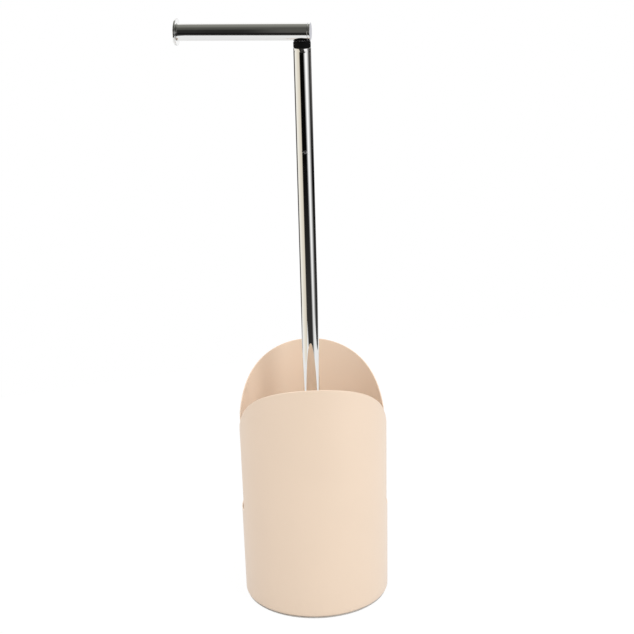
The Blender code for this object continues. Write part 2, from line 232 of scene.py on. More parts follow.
class StudioSettings(bpy.types.PropertyGroup):
    """Camera, lights and floor."""

    camera_distance: length_of("Camera distance", 1.7249, "Level distance from pole to camera")
    camera_height: length_of("Camera height", 0.9113, "Height of the camera above the floor")
    camera_bearing: angle_of("Camera bearing", 1.39, "Angle round the pole, towards the arm")
    camera_aim: angle_of("Camera aim", 0.27, "Angle that the camera looks to the pole's right")
    camera_pitch: angle_of("Camera pitch", 18.65, "Angle that the camera looks down")
    camera_roll: angle_of("Camera roll", -1.519, "Angle that the camera turns on its own axis")
    focal_length: bpy.props.FloatProperty(
        name="Focal length", default=93.69, description="Focal length of the camera", unit="CAMERA")
    sensor_width: bpy.props.FloatProperty(
        name="Sensor width", default=36.0, description="Width of the sensor", unit="CAMERA")
    skylight: light_of("Skylight", 1.3, "Strength of the light from overhead")
    sidelight: light_of("Sidelight", 1.05, "Strength of the level light from both sides")
    ambient: light_of("Ambient", 0.32, "Strength of the level light from front and back")
    key_power: bpy.props.FloatProperty(
        name="Key power", default=31.0, description="Power of the soft box", unit="POWER", min=0.0)
    key_color: color_of("Key colour", (0.84, 0.92, 1.0), "Colour of the soft box's light")
    key_size: length_of("Key size", 0.85, "Width of the soft box")
    key_place: point_of("Key place", (1.5, -2.06, 2.0), "Place of the soft box, at the front right")
    key_target: point_of("Key target", (0.0, 0.0, 0.25), "Point that the soft box faces")
    floor_turn: angle_of("Floor turn", 18.0, "Angle that the floor is turned counter-clockwise")
    floor_front: length_of("Floor front", 0.61, "Distance from the pole to the floor's front edge")
    floor_back: length_of("Floor back", 0.75, "Distance from the pole to the floor's back edge")
    floor_left: length_of("Floor left", 0.76, "Distance from the pole to the floor's left edge")
    floor_right: length_of("Floor right", 0.82, "Distance from the pole to the floor's right edge")
    floor_color: color_of("Floor", (0.45, 0.45, 0.45), "Colour of the floor as the lights see it")
    floor_white: bpy.props.FloatProperty(
        name="Floor white", default=1.06, description="Strength of the floor's glow", min=0.0)
    floor_glow: share_of("Floor glow", 0.9, "Share of the floor that glows and takes no shadow")
    floor_mirror: share_of("Floor mirror", 0.5, "The same share where polished metal shows it")


# Outlines and surfaces


def distinct(points):
    """The points without any that lies on the one before it."""
    step = np.linalg.norm(points - np.roll(points, 1, axis=0), axis=1)
    return points[step > SAME_POINT]


def rounded(corners, radii, steps=ARC_STEPS):
    """The outline through the corners with an arc in place of each one.

    An arc of radius r touches the corner's sides at r / tan(half angle) from the corner, and
    its centre lies on the bisector at r / sin(half angle). A radius of 0 keeps the corner.
    """
    corners = np.array(corners, dtype=float)
    radii = np.broadcast_to(np.array(radii, dtype=float), len(corners))[:, None]
    back = np.roll(corners, 1, axis=0) - corners
    ahead = np.roll(corners, -1, axis=0) - corners
    back /= np.linalg.norm(back, axis=1, keepdims=True)
    ahead /= np.linalg.norm(ahead, axis=1, keepdims=True)
    bisector = back + ahead
    bisector /= np.linalg.norm(bisector, axis=1, keepdims=True)
    half = np.arccos(np.sum(back * ahead, axis=1, keepdims=True)) / 2
    centre = corners + bisector * radii / np.sin(half)
    first = corners + back * radii / np.tan(half) - centre
    last = corners + ahead * radii / np.tan(half) - centre
    start = np.arctan2(first[:, 1], first[:, 0])
    sweep = (np.arctan2(last[:, 1], last[:, 0]) - start + math.pi) % math.tau - math.pi
    angle = start[:, None] + sweep[:, None] * np.linspace(0.0, 1.0, steps + 1)
    arcs = centre[:, None] + radii[:, None] * np.stack([np.cos(angle), np.sin(angle)], axis=-1)
    return distinct(arcs.reshape(-1, 2))


def graded(outline, closed, steps=RUN_STEPS):
    """The outline with its long straight runs divided evenly, and once close to either end.

    The points close to the ends keep the shading of an edge's arc off the flat beside it.
    """
    ahead = np.roll(outline, -1, axis=0)
    start = outline if closed else outline[:-1]
    reach = (ahead if closed else ahead[:-1]) - start
    run = np.linalg.norm(reach, axis=1, keepdims=True)
    near = np.where(run > 4 * NEAR_EDGE, NEAR_EDGE / run, 0.0)
    even = np.linspace(0.0, 1.0, steps + 1)[None, 1:-1] * (run > 2 * steps * NEAR_EDGE)
    far = np.where(near > 0.0, 1.0 - near, 0.0)
    shares = np.sort(np.hstack([np.zeros_like(run), near, even, far]), axis=1)
    points = (start[:, None] + reach[:, None] * shares[:, :, None]).reshape(-1, 2)
    return distinct(points if closed else np.vstack([points, outline[-1:]]))


def whole_turn(segments=FIXING_SEGMENTS):
    """Angles of the columns once round, with the first one again at the end."""
    return np.linspace(0.0, math.tau, segments + 1)[None, :]


def around(radius, height, angle):
    """Points at a radius from Z and a height, each given for all, by row or by column."""
    radius, height, angle = np.broadcast_arrays(radius, height, angle)
    return np.stack([radius * np.cos(angle), radius * np.sin(angle), height], axis=-1)


def turned(outline, segments=TUBE_SEGMENTS):
    """An outline of (radius, height) points carried once round Z."""
    return around(outline[:, :1], outline[:, 1:], whole_turn(segments))


def ring(inner, outer, low, high):
    """Corners of a ring's section, from its inner top round to its inner foot."""
    return [(inner, high), (outer, high), (outer, low), (inner, low)]


def lathe(corners, radii, segments=TUBE_SEGMENTS, closed=True, arcs=ARC_STEPS, runs=RUN_STEPS):
    """A turned shape: the outline through its (radius, height) corners, rounded, once round Z."""
    outline = graded(rounded(corners, radii, arcs), closed, runs)
    return turned(np.vstack([outline, outline[:1]]) if closed else outline, segments)


def along_arm(points):
    """Points made round Z, turned so that +Z runs out along the arm and +X points up."""
    out = np.array(ARM_DIRECTION)
    up = np.array((0.0, 0.0, 1.0))
    return points @ np.array([up, np.cross(out, up), out]) + up * ARM_HEIGHT


def hexagon(angle, width):
    """Radius of a hexagon: half its width over the cosine of the angle from a flat's middle."""
    from_flat = angle % (math.pi / 3) - math.pi / 6
    return width / 2 / np.cos(from_flat)


def thread(radius, pitch, share, angle, height):
    """Radius of a thread: it falls and climbs once for each pitch along the axis.

    The wave is a triangle of the turns along the axis less the turns round it, cut flat at the
    crest and at the root.
    """
    turns = height / pitch - angle / math.tau
    wave = np.abs(2.0 * (turns % 1.0) - 1.0)
    cut_wave = np.clip((1.0 + 2.0 * THREAD_FLAT) * wave - THREAD_FLAT, 0.0, 1.0)
    return radius - pitch * share * cut_wave


def thread_rows(start, end, pitch):
    """Heights of the rows of a thread, a few for each pitch."""
    count = round(abs(end - start) / pitch * THREAD_STEPS)
    return np.linspace(start, end, count)[:, None]


def tapped(radius, mouth, low, high, pitch, sizes):
    """Grid of a threaded bore, which a cone widens to its mouth at both ends."""
    angle = whole_turn()
    height = thread_rows(low, high, pitch)
    ridge = thread(radius, pitch, sizes.thread_share, angle, height) + sizes.thread_clearance
    from_end = np.minimum(height - low, high - height)
    return around(np.maximum(ridge, mouth - from_end), height, angle)


def surface(name, patches):
    """A mesh object over grids of points, which are joined wherever their points meet.

    A grid's rows run down its outer side and its columns counter-clockwise seen from above,
    so that its faces point outwards. A row whose points all meet closes to a pole.
    """
    faces = []
    count = 0
    for patch in patches:
        rows, columns = patch.shape[:2]
        number = count + np.arange(rows * columns).reshape(rows, columns)
        corners = [number[:-1, :-1], number[1:, :-1], number[1:, 1:], number[:-1, 1:]]
        faces.append(np.stack(corners, axis=-1).reshape(-1, 4))
        count += rows * columns
    points = np.vstack([patch.reshape(-1, 3) for patch in patches])
    mesh = bpy.data.meshes.new(name)
    mesh.from_pydata(points.tolist(), [], np.vstack(faces).tolist())
    shell = bmesh.new()
    shell.from_mesh(mesh)
    bmesh.ops.remove_doubles(shell, verts=shell.verts, dist=SAME_POINT)
    shell.to_mesh(mesh)
    shell.free()
    mesh.shade_smooth()
    mesh.set_sharp_from_angle(angle=SHARP_ANGLE)
    item = bpy.data.objects.new(name, mesh)
    bpy.context.scene.collection.objects.link(item)
    return item


def add_piece(name, patches, node, body, maker):
    """Adds a finished piece in its maker's material, to stand for its solid on that body."""
    piece = surface(name, patches)
    piece.data.materials.append(finish_by(maker))
    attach(piece, body)
    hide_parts(node)


# Shader maths


class Value:
    """A shader socket that Python's operators work on: each operator adds one Math node."""

    def __init__(self, recipe, socket):
        self.recipe = recipe
        self.socket = socket

    def __add__(self, other):
        return self.recipe.work_out("ADD", self, other)

    def __radd__(self, other):
        return self.recipe.work_out("ADD", other, self)

    def __sub__(self, other):
        return self.recipe.work_out("SUBTRACT", self, other)

    def __rsub__(self, other):
        return self.recipe.work_out("SUBTRACT", other, self)

    def __mul__(self, other):
        return self.recipe.work_out("MULTIPLY", self, other)

    def __rmul__(self, other):
        return self.recipe.work_out("MULTIPLY", other, self)

    def __abs__(self):
        return self.recipe.work_out("ABSOLUTE", self)


class Recipe:
    """The nodes of one material or of the world, each added by the method node."""

    def __init__(self, owner):
        owner.use_nodes = True
        self.tree = owner.node_tree
        self.tree.nodes.clear()

    def node(self, kind, settings=None, sockets=None, output=0):
        """Adds a node, sets it, and fills its sockets with values or links."""
        item = self.tree.nodes.new(kind)
        for key, value in (settings or {}).items():
            setattr(item, key, value)
        for key, value in (sockets or {}).items():
            if isinstance(value, Value):
                self.tree.links.new(value.socket, item.inputs[key])
            else:
                item.inputs[key].default_value = value
        return Value(self, item.outputs[output]) if item.outputs else None

    def work_out(self, operation, *operands):
        """Adds the Math node of an operation over values and numbers."""
        settings = {"operation": operation}
        return self.node("ShaderNodeMath", settings, dict(enumerate(operands)))

    def coordinates(self, scale=(1.0, 1.0, 1.0), rotation=(0.0, 0.0, 0.0)):
        """Object coordinates, turned and then scaled."""
        place = self.node("ShaderNodeTexCoord", output="Object")
        sockets = {"Vector": place, "Rotation": rotation}
        aligned = self.node("ShaderNodeMapping", {"vector_type": "POINT"}, sockets)
        return self.node("ShaderNodeVectorMath", {"operation": "MULTIPLY"}, {0: aligned, 1: scale})

    def noise(self, place, scale, detail=2.0):
        """Soft noise round 0.5, with about that scale of features to the metre."""
        return self.node("ShaderNodeTexNoise", {}, {"Vector": place, "Scale": scale, "Detail": detail})

    def cells(self, place, scale):
        """Distance from the nearest of the scattered points, in cells."""
        return self.node("ShaderNodeTexVoronoi", {}, {"Vector": place, "Scale": scale})

    def axes(self, vector):
        """The three parts of a vector."""
        parts = self.node("ShaderNodeSeparateXYZ", {}, {0: vector}).socket.node.outputs
        return [Value(self, socket) for socket in parts]

    def rays(self):
        """Three values, each 1 for its rays: from the camera, off polished metal, through glass."""
        kinds = ("Is Camera Ray", "Is Glossy Ray", "Is Transmission Ray")
        return [self.node("ShaderNodeLightPath", output=kind) for kind in kinds]

    def step(self, value, start, end):
        """0 before start and 1 past end, smooth between them. The two may run downwards."""
        sockets = {"Value": value, "From Min": start, "From Max": end}
        return self.node("ShaderNodeMapRange", {"interpolation_type": "SMOOTHSTEP"}, sockets)

    def specks(self, place, scale, edge, patch_scale, patch_edge):
        """1 in small round specks, found only where a wider noise is high."""
        speck = self.step(self.cells(place, scale), *edge)
        return speck * self.step(self.noise(place, patch_scale, detail=0.0), *patch_edge)

    def blend(self, share, first, second):
        """A colour that goes from first to second as share goes from 0 to 1."""
        sockets = {"Factor": share, 6: first, 7: second}
        return self.node("ShaderNodeMix", {"data_type": "RGBA"}, sockets, output=2)

    def bump(self, height, depth):
        """The normal over a relief, whose height of 1 stands for the depth."""
        return self.node("ShaderNodeBump", {}, {"Height": height, "Distance": depth})

    def finish(self, color, roughness, normal, **constants):
        """Ends a piece's material with a Principled shader."""
        sockets = {"Base Color": color, "Roughness": roughness, "Normal": normal}
        shader = self.node("ShaderNodeBsdfPrincipled", {}, {**sockets, **constants})
        self.node("ShaderNodeOutputMaterial", {}, {"Surface": shader})


def shade(color, share=1.0):
    """A colour socket's value: the colour, lighter or darker by a share."""
    return (*(channel * share for channel in color), 1.0)


# Finishes

# A scale is in features to the metre. An edge gives the values where a pattern is absent and
# where it is full. A cover is how far it hides what it lies on, and a shade multiplies its
# colour. A relief is the depth in metres that a height of 1 stands for. Specks and pits have
# their own scale and edge, then those of the wider noise that picks where they show.
COAT_CLOUD_SCALE = 14.0
COAT_CLOUD_EDGE = (0.3, 0.7)
COAT_CLOUD_SHADE = 0.985
COAT_PEEL_SCALE = 620.0
COAT_PEEL_SHARE = 0.75
COAT_GRAIN_SCALE = 2400.0
COAT_SPECKS = (330.0, (0.10, 0.04), 95.0, (0.66, 0.72))
COAT_SPECK_COVER = 0.35
COAT_SPECK_SHADE = 0.6
COAT_ROUGHNESS_RANGE = 0.10
COAT_RELIEF = 0.00003
COAT_GLOSS = {"Specular IOR Level": 1.0, "Sheen Weight": 0.3}


def satin_powder_coat(finishes, recipe):
    """Satin powder coat: orange peel under two millimetres across, faint clouds, rare specks."""
    place = recipe.coordinates()
    coat = finishes.coat_color
    clouds = recipe.step(recipe.noise(place, COAT_CLOUD_SCALE, detail=3.0), *COAT_CLOUD_EDGE)
    peel = recipe.noise(place, COAT_PEEL_SCALE)
    grain = recipe.noise(place, COAT_GRAIN_SCALE)
    specks = COAT_SPECK_COVER * recipe.specks(place, *COAT_SPECKS)
    color = recipe.blend(clouds, shade(coat, COAT_CLOUD_SHADE), shade(coat))
    color = recipe.blend(specks, color, shade(coat, COAT_SPECK_SHADE))
    roughness = finishes.coat_roughness + COAT_ROUGHNESS_RANGE * (peel - 0.5)
    relief = COAT_PEEL_SHARE * peel + (1.0 - COAT_PEEL_SHARE) * grain
    recipe.finish(color, roughness, recipe.bump(relief, COAT_RELIEF), **COAT_GLOSS)


# Chrome, whose lines are stretched along Z. Each of its marks has a roughness of its own.
CHROME_LINE_SCALE = 1500.0
CHROME_LINE_STRETCH = (1.0, 1.0, 0.02)
CHROME_LINE_ROUGHNESS = 0.02
CHROME_LINE_HEIGHT = 0.01
CHROME_RIPPLE_SCALE = 120.0
CHROME_SMEAR_SCALE = 32.0
CHROME_SMEAR_EDGE = (0.52, 0.72)
CHROME_SMEAR_ROUGHNESS = 0.05
CHROME_PITS = (240.0, (0.07, 0.03), 60.0, (0.66, 0.70))
CHROME_PIT_COVER = 0.5
CHROME_PIT_SHADE = 0.3
CHROME_PIT_ROUGHNESS = 0.2
CHROME_RELIEF = 0.000012


def bright_chrome(finishes, recipe, rotation=(0.0, 0.0, 0.0), dents=0.0, scuffs=0.0):
    """Chrome plate: fine polishing lines along the tube, faint smears and a few pits.

    The rotation brings the tube's direction to Z. Dents add to the height of the relief, and
    scuffs to the roughness.
    """
    place = recipe.coordinates(rotation=rotation)
    lengthwise = recipe.coordinates(scale=CHROME_LINE_STRETCH, rotation=rotation)
    lines = recipe.noise(lengthwise, CHROME_LINE_SCALE)
    ripple = recipe.noise(lengthwise, CHROME_RIPPLE_SCALE, detail=1.0)
    smears = recipe.step(recipe.noise(place, CHROME_SMEAR_SCALE, detail=3.0), *CHROME_SMEAR_EDGE)
    pits = recipe.specks(place, *CHROME_PITS)
    chrome = finishes.chrome_color
    color = recipe.blend(CHROME_PIT_COVER * pits, shade(chrome), shade(chrome, CHROME_PIT_SHADE))
    roughness = finishes.chrome_roughness + CHROME_LINE_ROUGHNESS * lines + scuffs
    roughness = roughness + CHROME_SMEAR_ROUGHNESS * smears + CHROME_PIT_ROUGHNESS * pits
    relief = ripple + CHROME_LINE_HEIGHT * lines + dents
    recipe.finish(color, roughness, recipe.bump(relief, CHROME_RELIEF), Metallic=1.0)


# The pole's own marks. Dents go by the distance below its end. Scuffs go by the distance
# from their height, and by the place towards the pole's front, in radii.
DENT_SCALE = 420.0
DENT_HEIGHT = 26.0
DENT_EDGE = (0.0045, 0.002)
SCUFF_SCALE = 700.0
SCUFF_EDGE = (0.5, 0.58)
SCUFF_HEIGHT_EDGE = (0.004, 0.001)
SCUFF_FRONT_EDGE = (-0.8, -0.92)
SCUFF_ROUGHNESS = 0.3


def pole_chrome(finishes, recipe):
    """The same chrome, dented a little below the pole's end, and scuffed at its front."""
    place = recipe.coordinates()
    _, depth, height = recipe.axes(place)
    near_end = recipe.step(POLE_HIGH.z - height, *DENT_EDGE)
    dents = DENT_HEIGHT * near_end * recipe.noise(place, DENT_SCALE, detail=1.0)
    level = recipe.step(abs(height - finishes.scuff_height), *SCUFF_HEIGHT_EDGE)
    front = recipe.step(depth * (1.0 / POLE_HIGH.x), *SCUFF_FRONT_EDGE)
    broken = recipe.step(recipe.noise(place, SCUFF_SCALE), *SCUFF_EDGE)
    bright_chrome(finishes, recipe, dents=dents, scuffs=SCUFF_ROUGHNESS * front * level * broken)


def arm_chrome(finishes, recipe):
    """The same chrome with its lines along the arm."""
    bright_chrome(finishes, recipe, rotation=tuple(TO_ARM_PATTERN.to_euler()))


# Nylon
NYLON_GRAIN_SCALE = 1800.0
NYLON_CLOUD_SCALE = 150.0
NYLON_CLOUD_SHADE = 1.6
NYLON_ROUGHNESS_RANGE = 0.16
NYLON_RELIEF = 0.00002
NYLON_GLOSS = {"Specular IOR Level": 0.06}


def moulded_nylon(finishes, recipe):
    """Black nylon with the fine grain of its mould."""
    place = recipe.coordinates()
    grain = recipe.noise(place, NYLON_GRAIN_SCALE)
    clouds = recipe.noise(place, NYLON_CLOUD_SCALE)
    nylon = finishes.nylon_color
    color = recipe.blend(clouds, shade(nylon), shade(nylon, NYLON_CLOUD_SHADE))
    roughness = finishes.nylon_roughness + NYLON_ROUGHNESS_RANGE * (grain - 0.5)
    recipe.finish(color, roughness, recipe.bump(grain, NYLON_RELIEF), **NYLON_GLOSS)


# Foam, whose cells are sunk in their middles and painted darker there, as painted shade in the pores
FOAM_CELL_SCALE = 900.0
FOAM_CELL_EDGE = (0.1, 0.6)
FOAM_PORE_PAINTED_SHADE = 0.75
FOAM_CLOUD_SCALE = 60.0
FOAM_CLOUD_COVER = 0.25
FOAM_CLOUD_SHADE = 1.2
FOAM_ROUGHNESS_RANGE = 0.12
FOAM_RELIEF = 0.0001


def foam_rubber(finishes, recipe):
    """Foam rubber with small closed cells, whose sunk middles are darkened with painted shade."""
    place = recipe.coordinates()
    cells = recipe.cells(place, FOAM_CELL_SCALE)
    clouds = recipe.noise(place, FOAM_CLOUD_SCALE, detail=3.0)
    foam = finishes.foam_color
    # Painted shade: each cell's sunk middle, the low point of the bump, is coloured darker
    unshaded_walls = recipe.step(cells, *FOAM_CELL_EDGE)
    color = recipe.blend(unshaded_walls, shade(foam, FOAM_PORE_PAINTED_SHADE), shade(foam))
    color = recipe.blend(FOAM_CLOUD_COVER * clouds, color, shade(foam, FOAM_CLOUD_SHADE))
    roughness = finishes.foam_roughness + FOAM_ROUGHNESS_RANGE * (clouds - 0.5)
    recipe.finish(color, roughness, recipe.bump(cells, FOAM_RELIEF))


# Zinc, whose turning marks are stretched round Z
ZINC_PATCH_SCALE = 420.0
ZINC_PATCH_SHADE = 0.82
ZINC_MARK_SCALE = 3000.0
ZINC_MARK_STRETCH = (0.1, 0.1, 1.0)
ZINC_ROUGHNESS_RANGE = 0.2
ZINC_RELIEF = 0.000006


def zinc_plate(finishes, recipe):
    """Bright zinc on steel: spangled patches and fine turning marks."""
    patches = recipe.noise(recipe.coordinates(), ZINC_PATCH_SCALE, detail=3.0)
    level = recipe.coordinates(scale=ZINC_MARK_STRETCH)
    marks = recipe.noise(level, ZINC_MARK_SCALE, detail=1.0)
    zinc = finishes.zinc_color
    color = recipe.blend(patches, shade(zinc, ZINC_PATCH_SHADE), shade(zinc))
    roughness = finishes.zinc_roughness + ZINC_ROUGHNESS_RANGE * (patches - 0.5)
    recipe.finish(color, roughness, recipe.bump(marks, ZINC_RELIEF), Metallic=1.0)


def finish_by(maker):
    """The material of that maker, which is made when the first piece asks for it."""
    found = bpy.data.materials.get(maker.__name__)
    if found:
        return found
    material = bpy.data.materials.new(maker.__name__)
    maker(bpy.context.scene.holder_finishes, Recipe(material))
    return material


# Container


def edge_run(centre, radius, angles, facing):
    """Places on an arc of the sheet's edge, and the directions out of the sheet there.

    Angles go from upwards towards the slot, and facing is -1 where the arc is hollow.
    """
    spoke = np.column_stack([np.sin(angles), np.cos(angles)])
    return np.hstack([np.array(centre) + radius * spoke, facing * spoke])


def edge_line(start, end, steps, outward):
    """Places inside a straight run of the edge, without its ends, and its direction out."""
    share = np.linspace(0.0, 1.0, steps + 1)[1:-1, None]
    place = np.array(start) + (np.array(end) - np.array(start)) * share
    return np.hstack([place, np.broadcast_to(outward, place.shape)])


def quarter_edge(sizes, rim_radius):
    """A quarter of the edge in the unrolled sheet, from a lobe's crown to a slot's middle.

    Each row is (arc, height, outward arc, outward height). The crown is one large arc whose
    radius follows from its fall over the lobe's width. The corner arc turns it upright, the
    slot's edge runs down to a hollow corner, and the slot's floor is level. Returns the lobe's
    part, the upright part and the slot's part.
    """
    middle_arc = math.pi / 2 * rim_radius
    half_arc = middle_arc - math.asin(sizes.slot_width / 2 / rim_radius) * rim_radius
    corner_arc = half_arc - sizes.lobe_corner
    swing = (corner_arc ** 2 + sizes.crown_fall ** 2) / (2 * sizes.crown_fall)
    turn = math.atan2(corner_arc, swing - sizes.crown_fall)
    crown_radius = swing + sizes.lobe_corner
    corner_height = WALL_HIGH.z - sizes.lobe_corner - sizes.crown_fall
    hollow_arc = half_arc + sizes.slot_corner
    hollow_height = sizes.slot_foot + sizes.slot_corner
    upright = math.pi / 2
    crown_turns = np.linspace(0.0, turn, CROWN_STEPS + 1)[:-1]
    corner_turns = np.linspace(turn, upright, LOBE_CORNER_STEPS + 1)
    hollow_turns = np.linspace(-upright, -math.pi, HOLLOW_STEPS + 1)
    lobe = np.vstack([
        edge_run((0.0, WALL_HIGH.z - crown_radius), crown_radius, crown_turns, 1.0),
        edge_run((corner_arc, corner_height), sizes.lobe_corner, corner_turns, 1.0),
    ])
    side = edge_line((half_arc, corner_height), (half_arc, hollow_height), UPPER_ROWS, (1.0, 0.0))
    middle = (middle_arc, sizes.slot_foot, 0.0, 1.0)
    slot = np.vstack([
        edge_run((hollow_arc, hollow_height), sizes.slot_corner, hollow_turns, -1.0),
        edge_line((hollow_arc, sizes.slot_foot), middle[:2], SLOT_FLOOR_STEPS, (0.0, 1.0)),
        middle,
    ])
    return lobe, side, slot


def whole_edge(quarter, rim_radius):
    """A quarter's rows carried once round: every second quarter is mirrored."""
    mirror = np.ones(quarter.shape[1])
    mirror[0::2] = -1.0
    shift = np.zeros(quarter.shape[1])
    shift[0] = math.pi * rim_radius
    half = np.vstack([quarter, quarter[-2::-1] * mirror + shift])
    return np.vstack([half, half[-2::-1] * mirror + 2 * shift])


def container_patches(sizes):
    """Grids of the rolled wall: skins out and in, a band over the edge, and the foot.

    The sheet is laid out flat as (arc, height) and rolled on a slightly opening cone, whose
    radius grows evenly with the height. The skins' columns rise to a ring inside the edge, and
    the band goes from the inner ring over the edge's two radii to the outer one.
    """
    rim_radius = WALL_HIGH.y
    foot_radius = PAD_HIGH.x + sizes.pad_inset
    bend_height = WALL_LOW.z + sizes.lip_bend

    def cone_radius(height):
        return foot_radius + (rim_radius - foot_radius) * height / WALL_HIGH.z

    def rolled(arc, height, depth):
        return around(cone_radius(height) - depth, height, arc / rim_radius - math.pi / 2)

    def skins(columns, low, rows):
        share = np.linspace(0.0, 1.0, rows + 1)[:, None]
        arc = np.tile(columns[:, 0], (rows + 1, 1))
        height = low + (columns[:, 1] - low) * share
        return [rolled(arc, height, 0.0)[::-1], rolled(arc, height, sizes.sheet)]

    lobe, side, slot = quarter_edge(sizes, rim_radius)
    ring_lobe = lobe[:, :2] - sizes.edge_band * lobe[:, 2:]
    ring_slot = slot[1:, :2] - sizes.edge_band * slot[1:, 2:]
    shoulder = slot[0, 1]
    under_lobe = np.column_stack([ring_lobe[:, 0], np.full(len(ring_lobe), shoulder)])
    lower = whole_edge(np.vstack([under_lobe, ring_slot]), rim_radius)
    front_lobe = np.vstack([ring_lobe[:0:-1] * (-1.0, 1.0), ring_lobe])
    back_lobe = front_lobe + (math.pi * rim_radius, 0.0)

    edge = whole_edge(np.vstack([lobe, side, slot]), rim_radius)
    section = rounded(
        [(sizes.edge_band, sizes.sheet), (0.0, sizes.sheet), (0.0, 0.0), (sizes.edge_band, 0.0)],
        [0.0, sizes.cut_edge, sizes.cut_edge, 0.0])
    section = graded(section, closed=False)
    inset, depth = section[:, :1], section[:, 1:]
    band = rolled(edge[:, 0] - inset * edge[:, 2], edge[:, 1] - inset * edge[:, 3], depth)

    outside = cone_radius(bend_height)
    lip_inner = foot_radius - sizes.lip_width
    lip_top = WALL_LOW.z + sizes.sheet
    foot = rounded(
        [
            (outside, bend_height), (outside, WALL_LOW.z), (lip_inner, WALL_LOW.z),
            (lip_inner, lip_top), (outside - sizes.sheet, lip_top),
            (outside - sizes.sheet, bend_height),
        ],
        [0.0, sizes.lip_bend, sizes.cut_edge, sizes.cut_edge, sizes.lip_bend - sizes.sheet, 0.0],
        BEND_STEPS)
    foot = graded(foot, closed=False)
    foot_angle = lower[None, :, 0] / rim_radius - math.pi / 2
    return [
        *skins(front_lobe, shoulder, UPPER_ROWS),
        *skins(back_lobe, shoulder, UPPER_ROWS),
        *skins(lower, bend_height, LOWER_ROWS),
        band,
        around(foot[:, :1], foot[:, 1:], foot_angle),
    ]


class ROLL_HOLDER_OT_container_wall(bpy.types.Operator):
    """Rolls the container's sheet wall with its two lobes, its two slots and its lip"""

    bl_idname = "roll_holder.container_wall"
    bl_label = "Container wall"

    def execute(self, context):
        wall = container_patches(context.scene.holder_container)
        coat = satin_powder_coat
        add_piece("rolled_wall", wall, "container_wall", "stand", coat)
        return {"FINISHED"}


class ROLL_HOLDER_OT_weighted_base(bpy.types.Operator):
    """Turns the heavy base plate, rebated over the wall's lip, and the pad under it"""

    bl_idname = "roll_holder.weighted_base"
    bl_label = "Weighted base"

    def execute(self, context):
        scene = context.scene
        sizes, fixings = scene.holder_container, scene.holder_fixings
        gap, edge = scene.holder_tubes.seat_gap, fixings.fixing_edge
        hole = fixings.screw_radius + gap
        sink = SCREW_HIGH.x + gap
        rim = PLATE_HIGH.x
        lip = PAD_HIGH.x + sizes.pad_inset - sizes.lip_width - gap
        rebate = PLATE_LOW.z + sizes.sheet + gap
        bend = sizes.lip_bend - sizes.sheet
        corners = [
            (hole, PLATE_HIGH.z), (rim, PLATE_HIGH.z), (rim, rebate), (lip, rebate),
            (lip, PLATE_LOW.z), (sink, PLATE_LOW.z), (hole, PLATE_LOW.z + sink - hole),
        ]
        radii = [edge, sizes.plate_edge, bend, edge, edge, edge, edge]
        plate = [lathe(corners, radii, PLATE_SEGMENTS)]
        coat = satin_powder_coat
        add_piece("base_disc", plate, "base_plate", "stand", coat)

        corners = ring(0.0, PAD_HIGH.x, PAD_LOW.z, PAD_HIGH.z)
        pad = [lathe(corners, [0.0, edge, edge, 0.0], PLATE_SEGMENTS, closed=False)]
        add_piece("foot_pad", pad, "base_pad", "stand", foam_rubber)
        return {"FINISHED"}


class ROLL_HOLDER_OT_pole(bpy.types.Operator):
    """Makes the chromed pole"""

    bl_idname = "roll_holder.pole"
    bl_label = "Pole"

    def execute(self, context):
        sizes = context.scene.holder_tubes
        corners = ring(POLE_HIGH.x - sizes.wall, POLE_HIGH.x, POLE_LOW.z, POLE_HIGH.z)
        pole = [lathe(corners, sizes.tube_edge, runs=POLE_STEPS)]
        add_piece("chromed_pole", pole, "pole_tube", "stand", pole_chrome)
        return {"FINISHED"}


class ROLL_HOLDER_OT_base_fixings(bpy.types.Operator):
    """Cuts the countersunk base screw and the threaded plug in the pole's foot"""

    bl_idname = "roll_holder.base_fixings"
    bl_label = "Base fixings"

    def execute(self, context):
        scene = context.scene
        sizes = scene.holder_fixings
        self.make_screw(sizes)
        self.make_plug(sizes, scene.holder_tubes.seat_gap)
        return {"FINISHED"}

    def make_screw(self, sizes):
        """Countersunk screw: thread, cone, narrow rim, and a hexagon socket from below."""
        radius, pitch, edge = sizes.screw_radius, sizes.screw_pitch, sizes.fixing_edge
        angle = whole_turn()
        root = radius - pitch * sizes.thread_share
        head, bottom, top = SCREW_HIGH.x, SCREW_LOW.z, SCREW_HIGH.z
        height = thread_rows(top, bottom + head - radius, pitch)
        ridge = thread(radius, pitch, sizes.thread_share, angle, height)
        socket = hexagon(angle, sizes.socket_width)
        floor = bottom + sizes.socket_depth
        screw = np.vstack([
            around(0.0, top, angle),
            around(np.minimum(ridge, root + top - height), height, angle),
            around(head - edge, bottom + edge, angle),
            around(head - edge, bottom, angle),
            around(socket + edge / 2, bottom, angle),
            around(socket, bottom + edge / 2, angle),
            around(socket, floor, angle),
            around(0.0, floor + SOCKET_POINT * sizes.socket_width, angle),
        ])
        add_piece("sunk_screw", [screw], "base_screw", "stand", zinc_plate)

    def make_plug(self, sizes, gap):
        """Plug in the pole's foot, threaded right through for the screw."""
        low, high, edge = FOOT_PLUG_LOW.z, FOOT_PLUG_HIGH.z, sizes.fixing_edge
        mouth = sizes.screw_radius + gap
        corners = ring(mouth, FOOT_PLUG_HIGH.x, low, high)
        plug = np.vstack([
            tapped(sizes.screw_radius, mouth, low, high, sizes.screw_pitch, sizes),
            lathe(corners, [0.0, edge, edge, 0.0], FIXING_SEGMENTS, closed=False),
        ])
        add_piece("foot_nut", [plug], "foot_plug", "stand", zinc_plate)


